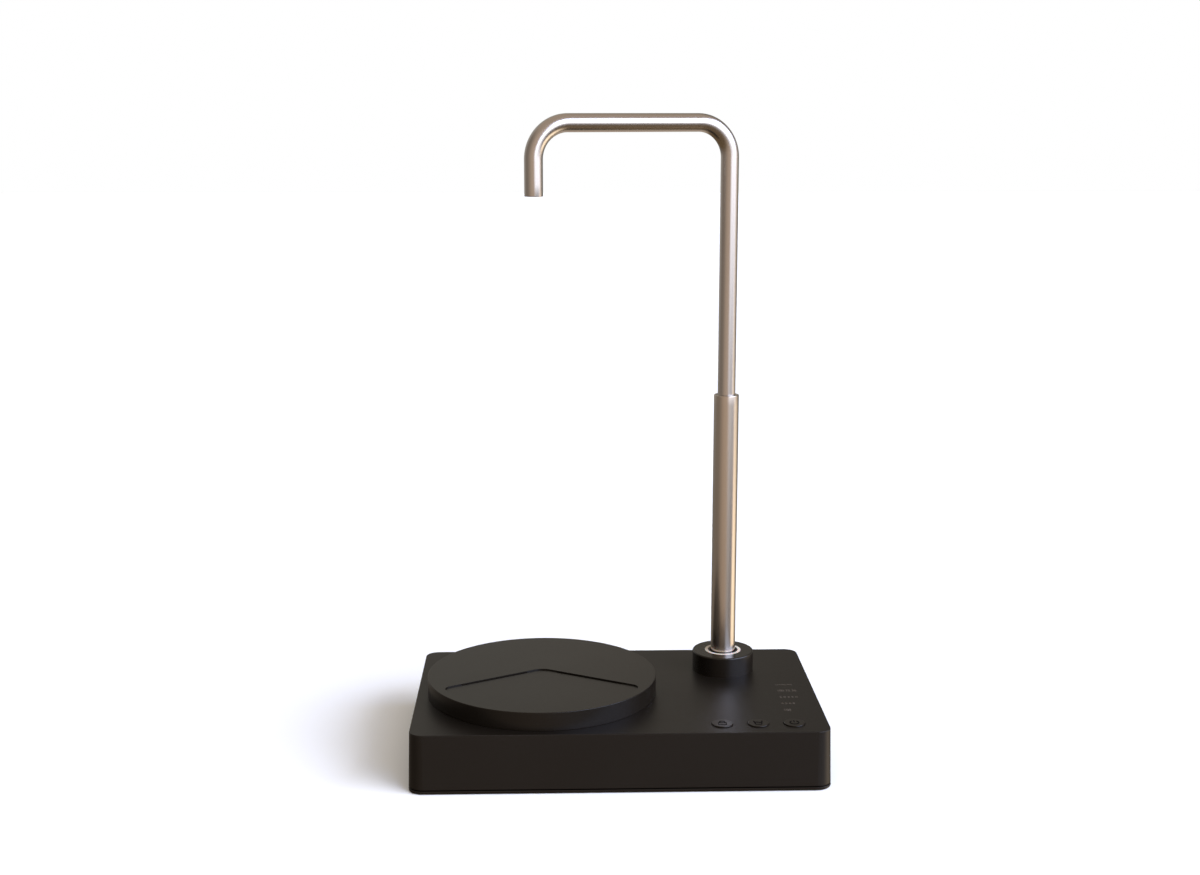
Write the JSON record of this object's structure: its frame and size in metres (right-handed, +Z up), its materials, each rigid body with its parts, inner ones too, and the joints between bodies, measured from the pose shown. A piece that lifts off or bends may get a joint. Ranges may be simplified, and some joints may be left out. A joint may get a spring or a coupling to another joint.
{
  "type": "countertop water dispenser",
  "caption": "Low rectangular base with a round drip tray, press buttons and a lit collar that carries a swivelling, telescopic steel gooseneck spout for filling a glass.",
  "frame": {"origin": "on the table, under the middle of the base", "axes": "+Z up, +X towards the column's side of the base, -Y towards the user and the buttons"},
  "size_m": [0.2016, 0.126, 0.316],
  "materials": {
    "base_cover": "moulded black",
    "board": "solder-masked laminate",
    "bush_plastic": "natural acetal",
    "cell_wrap": "shrink sleeve",
    "collar": "semi-gloss black",
    "collet_plastic": "grey acetal",
    "component": "moulded components",
    "contact_metal": "nickel-plated",
    "foot_rubber": "black rubber",
    "hose_silicone": "translucent silicone",
    "housing": "fine moulded texture, satin black",
    "inner_plastic": "moulded black",
    "key_plastic": "satin black",
    "lead_pvc": "black insulation",
    "led": "LED packages",
    "light_diffuser": "frosted white diffuser",
    "lower_steel": "satin stainless",
    "magnet": "ferrite",
    "motor_can": "nickel-plated can",
    "pump_plastic": "white food-grade plastic",
    "rotor_steel": "laminated steel and copper",
    "screen_plastic": "food-grade plastic",
    "screw_steel": "zinc-plated",
    "seal_rubber": "silicone rubber",
    "sheet_steel": "plain stainless",
    "socket_metal": "stamped shell",
    "tray_top": "fine moulded texture, satin black",
    "tray_well": "moulded black",
    "upper_steel": "satin stainless"
  },
  "bodies": {
    "base": {"battery_cell_a": "cell_wrap", "battery_cell_b": "cell_wrap", "battery_contacts": "contact_metal", "battery_lead": "lead_pvc", "battery_tray": "inner_plastic", "board_components": "component", "board_screws": "screw_steel", "bottom_cover": "base_cover", "buzzer": "component", "charge_board": "board", "charge_screws": "screw_steel", "clamp_screws": "screw_steel", "collar_screws": "screw_steel", "column_bush": "bush_plastic", "column_collar": "collar", "column_retainer": "sheet_steel", "control_board": "board", "cover_screws": "screw_steel", "foot_front_left": "foot_rubber", "foot_front_right": "foot_rubber", "foot_rear_left": "foot_rubber", "foot_rear_right": "foot_rubber", "hose_clips": "sheet_steel", "inlet_fitting": "inner_plastic", "inlet_hose": "hose_silicone", "light_ring": "light_diffuser", "motor_magnets": "magnet", "outlet_hose": "hose_silicone", "pump_clamp": "sheet_steel", "pump_cradle": "seal_rubber", "pump_head": "pump_plastic", "pump_lead": "lead_pvc", "pump_lid": "pump_plastic", "pump_motor": "motor_can", "ring_lead": "lead_pvc", "ring_led_board": "board", "ring_leds": "led", "swivel_housing": "inner_plastic", "tact_switches": "component", "top_housing": "housing", "usb_lead": "lead_pvc", "usb_socket": "socket_metal"},
    "column": {"lower_tube": "lower_steel", "column_foot": "bush_plastic", "column_seals": "seal_rubber", "guide_bush": "bush_plastic"},
    "spout": {"upper_tube": "upper_steel", "slide_piston": "bush_plastic", "piston_seal": "seal_rubber", "outlet_screen": "screen_plastic"},
    "lock_button": {"key_lock": "key_plastic"},
    "cup_button": {"key_cup": "key_plastic"},
    "power_button": {"key_power": "key_plastic"},
    "drip_tray": {"tray_dish": "tray_well"},
    "tray_lid": {"tray_cover": "tray_top"},
    "pump_rotor": {"motor_rotor": "rotor_steel", "impeller": "pump_plastic"},
    "inlet_release": {"inlet_collet": "collet_plastic"}
  },
  "joints": [
    {"name": "spout_swivel", "type": "hinge", "parent": "base", "child": "column", "pos_m": [0.05726, 0.03135, 0.02], "axis": [0, 0, 1], "range_deg": [-90, 90]},
    {"name": "height_slide", "type": "slide", "parent": "column", "child": "spout", "axis": [0, 0, 1], "range_m": [-0.1, 0]},
    {"name": "lock_press", "type": "slide", "parent": "base", "child": "lock_button", "axis": [0, 0, 1], "range_m": [-0.0006, 0], "stiffness_N_per_m": 600, "springref_m": 0.001},
    {"name": "cup_press", "type": "slide", "parent": "base", "child": "cup_button", "axis": [0, 0, 1], "range_m": [-0.0006, 0], "stiffness_N_per_m": 600, "springref_m": 0.001},
    {"name": "power_press", "type": "slide", "parent": "base", "child": "power_button", "axis": [0, 0, 1], "range_m": [-0.0006, 0], "stiffness_N_per_m": 600, "springref_m": 0.001},
    {"name": "tray_lift", "type": "slide", "parent": "base", "child": "drip_tray", "axis": [0, 0, 1], "range_m": [0, 0.04]},
    {"name": "lid_lift", "type": "slide", "parent": "drip_tray", "child": "tray_lid", "axis": [0, 0, 1], "range_m": [0, 0.02]},
    {"name": "pump_spin", "type": "hinge", "parent": "base", "child": "pump_rotor", "pos_m": [-0.03, 0.03, 0.0144], "axis": [1, 0, 0], "continuous": true},
    {"name": "inlet_press", "type": "slide", "parent": "base", "child": "inlet_release", "axis": [0, -1, 0], "range_m": [0, 0.0008], "stiffness_N_per_m": 400, "springref_m": -0.0008}
  ]
}
